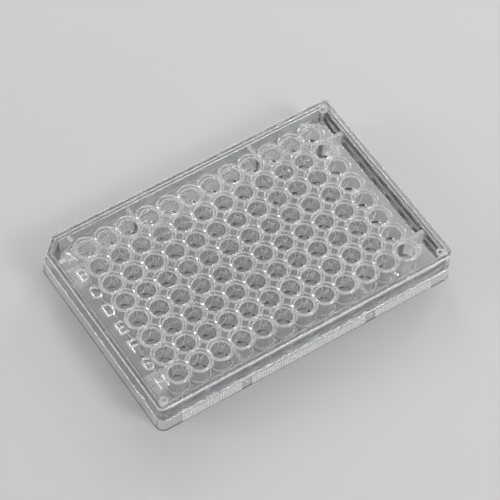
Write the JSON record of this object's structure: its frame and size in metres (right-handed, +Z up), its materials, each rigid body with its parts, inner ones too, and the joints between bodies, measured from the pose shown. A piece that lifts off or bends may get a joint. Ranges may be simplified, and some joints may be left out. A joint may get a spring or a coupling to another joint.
{
  "type": "well plate",
  "caption": "Clear moulded multi-well plate with tapered round wells, ridged skirt, lettered rows and a loose lid with one cut corner.",
  "frame": {"origin": "centre of the footprint, on the surface that the skirt stands on", "axes": "+X along the long side from column 1 to column 12, +Y towards row A, +Z up through the lid"},
  "size_m": [0.1278, 0.0854, 0.0153],
  "materials": {
    "plate_clear": "clear, polished",
    "lid_clear": "clear, polished"
  },
  "bodies": {
    "root": {"plate": "plate_clear", "lid": "lid_clear"}
  },
  "joints": []
}
